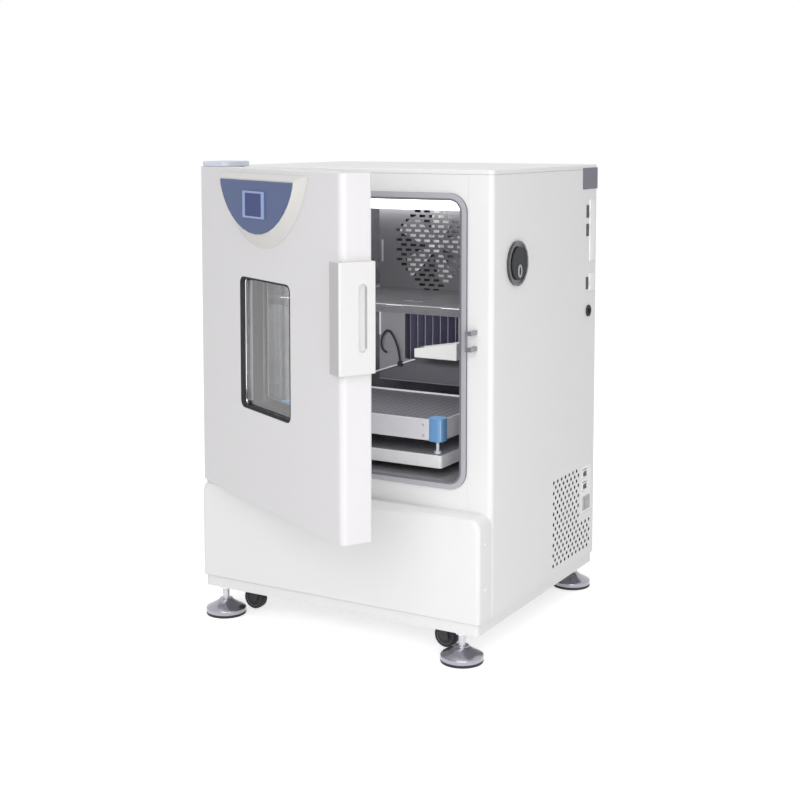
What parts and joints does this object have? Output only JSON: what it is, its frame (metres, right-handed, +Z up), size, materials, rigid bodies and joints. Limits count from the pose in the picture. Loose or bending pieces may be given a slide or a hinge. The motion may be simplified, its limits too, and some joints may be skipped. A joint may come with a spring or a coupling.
{
  "type": "incubated_shaker_cabinet",
  "caption": "Upright shaking incubator: white steel cabinet on levelling feet and casters, side-hinged door with window and control pod, lit chamber with a shelf and an orbiting tray.",
  "frame": {"origin": "bottom centre of the whole, as it stands with its door 28.3 degrees open", "axes": "+Z up along the cabinet's height, -Y to the front where the door is, +X to the right side with the port"},
  "size_m": [0.6286, 0.8446, 0.892],
  "materials": {
    "paint_white": "satin powder coat",
    "paint_door": "satin powder coat",
    "plastic_light": "moulded, fine texture",
    "rubber_dark": "matt",
    "gasket_grey": "matt",
    "stainless": "brushed",
    "wool": "matt mineral wool",
    "plastic_black": "moulded",
    "plastic_grey": "moulded",
    "hinge_blue": "moulded, smooth",
    "iron_dark": "machined and oiled",
    "zinc": "zinc plated",
    "dark_paint": "satin",
    "aluminium": "plain",
    "deck_grey": "matt",
    "lamp_white": "diffusing",
    "plastic_blue": "smooth film",
    "clear_glass": "clear",
    "foot_grey": "matt"
  },
  "bodies": {
    "cabinet": {"base_frame": "paint_white", "left_side_panel": "paint_white", "right_side_panel": "paint_white", "rear_panel": "paint_white", "top_cover": "paint_white", "front_frame": "paint_white", "door_gasket": "gasket_grey", "lower_front_panel": "paint_white", "chamber_liner": "stainless", "insulation": "wool", "port_sleeve": "plastic_black", "cable_grommet": "rubber_dark", "switch_plate": "plastic_light", "door_strike": "plastic_grey", "top_hinge": "hinge_blue", "drive_base": "iron_dark", "drive_motor": "dark_paint", "drive_belt": "rubber_dark", "duct_cover": "stainless", "fan_motor": "dark_paint", "evaporator": "aluminium", "drip_tray": "plastic_light", "chamber_lamp": "lamp_white", "shelf": "stainless", "temperature_sensor": "rubber_dark", "compressor": "dark_paint", "condenser": "aluminium"},
    "door": {"door_shell": "paint_door", "door_inner_panel": "stainless", "window_frame": "gasket_grey", "outer_pane": "clear_glass", "inner_pane": "clear_glass", "control_bezel": "plastic_light", "control_face": "plastic_blue", "display": "hinge_blue", "door_handle": "plastic_light"},
    "latch": {"latch_lever": "plastic_grey"},
    "fan": {"circulation_fan": "aluminium"},
    "crank_main": {"main_crank": "iron_dark"},
    "crank_left": {"idler_crank_left": "zinc"},
    "crank_right": {"idler_crank_right": "zinc"},
    "pulley": {"motor_pulley": "aluminium"},
    "tray": {"carriage_plate": "plastic_light", "tray_frame": "aluminium", "tray_deck": "deck_grey"},
    "plug": {"port_plug": "rubber_dark"},
    "rocker_power": {"power_switch": "plastic_black"},
    "rocker_breaker": {"breaker_switch": "plastic_black"},
    "foot_front_left": {"levelling_foot_front_left": "foot_grey"},
    "fork_front_left": {"caster_fork_front_left": "dark_paint"},
    "wheel_front_left": {"caster_wheel_front_left": "rubber_dark"},
    "foot_front_right": {"levelling_foot_front_right": "foot_grey"},
    "fork_front_right": {"caster_fork_front_right": "dark_paint"},
    "wheel_front_right": {"caster_wheel_front_right": "rubber_dark"},
    "foot_rear_left": {"levelling_foot_rear_left": "foot_grey"},
    "fork_rear_left": {"caster_fork_rear_left": "dark_paint"},
    "wheel_rear_left": {"caster_wheel_rear_left": "rubber_dark"},
    "foot_rear_right": {"levelling_foot_rear_right": "foot_grey"},
    "fork_rear_right": {"caster_fork_rear_right": "dark_paint"},
    "wheel_rear_right": {"caster_wheel_rear_right": "rubber_dark"}
  },
  "joints": [
    {"name": "door_hinge", "type": "hinge", "parent": "cabinet", "child": "door", "pos_m": [-0.2833, -0.13423, 0.57575], "axis": [0, 0, -1], "range_deg": [-28.3, 86.7]},
    {"name": "latch_hinge", "type": "hinge", "parent": "door", "child": "latch", "pos_m": [0.20478, -0.3784, 0.5785], "axis": [0, 0, 1], "range_deg": [0, 14]},
    {"name": "fan_spin", "type": "hinge", "parent": "cabinet", "child": "fan", "pos_m": [-0.0093, 0.25677, 0.713], "axis": [0, 1, 0], "continuous": true},
    {"name": "crank_spin", "type": "hinge", "parent": "cabinet", "child": "crank_main", "pos_m": [-0.0093, -0.00423, 0.3], "axis": [0, 0, 1], "continuous": true},
    {"name": "tray_spin", "type": "hinge", "parent": "crank_main", "child": "tray", "pos_m": [-0.0093, 0.00877, 0.33], "axis": [0, 0, 1], "continuous": true},
    {"name": "left_crank_spin", "type": "hinge", "parent": "cabinet", "child": "crank_left", "pos_m": [-0.1193, 0.13577, 0.3], "axis": [0, 0, 1], "continuous": true},
    {"name": "right_crank_spin", "type": "hinge", "parent": "cabinet", "child": "crank_right", "pos_m": [0.1007, 0.13577, 0.3], "axis": [0, 0, 1], "continuous": true},
    {"name": "pulley_spin", "type": "hinge", "parent": "cabinet", "child": "pulley", "pos_m": [-0.1213, 0.11377, 0.236], "axis": [0, 0, 1], "continuous": true},
    {"name": "plug_pull", "type": "slide", "parent": "cabinet", "child": "plug", "axis": [1, 0, 0], "range_m": [0, 0.08]},
    {"name": "power_rock", "type": "hinge", "parent": "cabinet", "child": "rocker_power", "pos_m": [0.2907, 0.34677, 0.2505], "axis": [0, 1, 0], "range_deg": [-7, 7]},
    {"name": "breaker_rock", "type": "hinge", "parent": "cabinet", "child": "rocker_breaker", "pos_m": [0.2907, 0.34677, 0.2245], "axis": [0, 1, 0], "range_deg": [-7, 7]},
    {"name": "foot_turn_front_left", "type": "hinge", "parent": "cabinet", "child": "foot_front_left", "pos_m": [-0.2713, -0.11623, 0.04], "axis": [0, 0, 1], "continuous": true},
    {"name": "swivel_front_left", "type": "hinge", "parent": "cabinet", "child": "fork_front_left", "pos_m": [-0.2093, -0.08223, 0.07], "axis": [0, 0, 1], "continuous": true},
    {"name": "roll_front_left", "type": "hinge", "parent": "fork_front_left", "child": "wheel_front_left", "pos_m": [-0.2233, -0.08223, 0.0305], "axis": [0, 1, 0], "continuous": true},
    {"name": "foot_turn_front_right", "type": "hinge", "parent": "cabinet", "child": "foot_front_right", "pos_m": [0.2527, -0.11623, 0.04], "axis": [0, 0, 1], "continuous": true},
    {"name": "swivel_front_right", "type": "hinge", "parent": "cabinet", "child": "fork_front_right", "pos_m": [0.1907, -0.08223, 0.07], "axis": [0, 0, 1], "continuous": true},
    {"name": "roll_front_right", "type": "hinge", "parent": "fork_front_right", "child": "wheel_front_right", "pos_m": [0.2047, -0.08223, 0.0305], "axis": [0, 1, 0], "continuous": true},
    {"name": "foot_turn_rear_left", "type": "hinge", "parent": "cabinet", "child": "foot_rear_left", "pos_m": [-0.2713, 0.38277, 0.04], "axis": [0, 0, 1], "continuous": true},
    {"name": "swivel_rear_left", "type": "hinge", "parent": "cabinet", "child": "fork_rear_left", "pos_m": [-0.2093, 0.32577, 0.07], "axis": [0, 0, 1], "continuous": true},
    {"name": "roll_rear_left", "type": "hinge", "parent": "fork_rear_left", "child": "wheel_rear_left", "pos_m": [-0.2233, 0.32577, 0.0305], "axis": [0, 1, 0], "continuous": true},
    {"name": "foot_turn_rear_right", "type": "hinge", "parent": "cabinet", "child": "foot_rear_right", "pos_m": [0.2527, 0.38277, 0.04], "axis": [0, 0, 1], "continuous": true},
    {"name": "swivel_rear_right", "type": "hinge", "parent": "cabinet", "child": "fork_rear_right", "pos_m": [0.1907, 0.32577, 0.07], "axis": [0, 0, 1], "continuous": true},
    {"name": "roll_rear_right", "type": "hinge", "parent": "fork_rear_right", "child": "wheel_rear_right", "pos_m": [0.2047, 0.32577, 0.0305], "axis": [0, 1, 0], "continuous": true}
  ],
  "couplings": [
    {"joint": "tray_spin", "follows": "crank_spin", "ratio": -1},
    {"joint": "left_crank_spin", "follows": "crank_spin", "ratio": 1},
    {"joint": "right_crank_spin", "follows": "crank_spin", "ratio": 1},
    {"joint": "pulley_spin", "follows": "crank_spin", "ratio": 2.4}
  ]
}
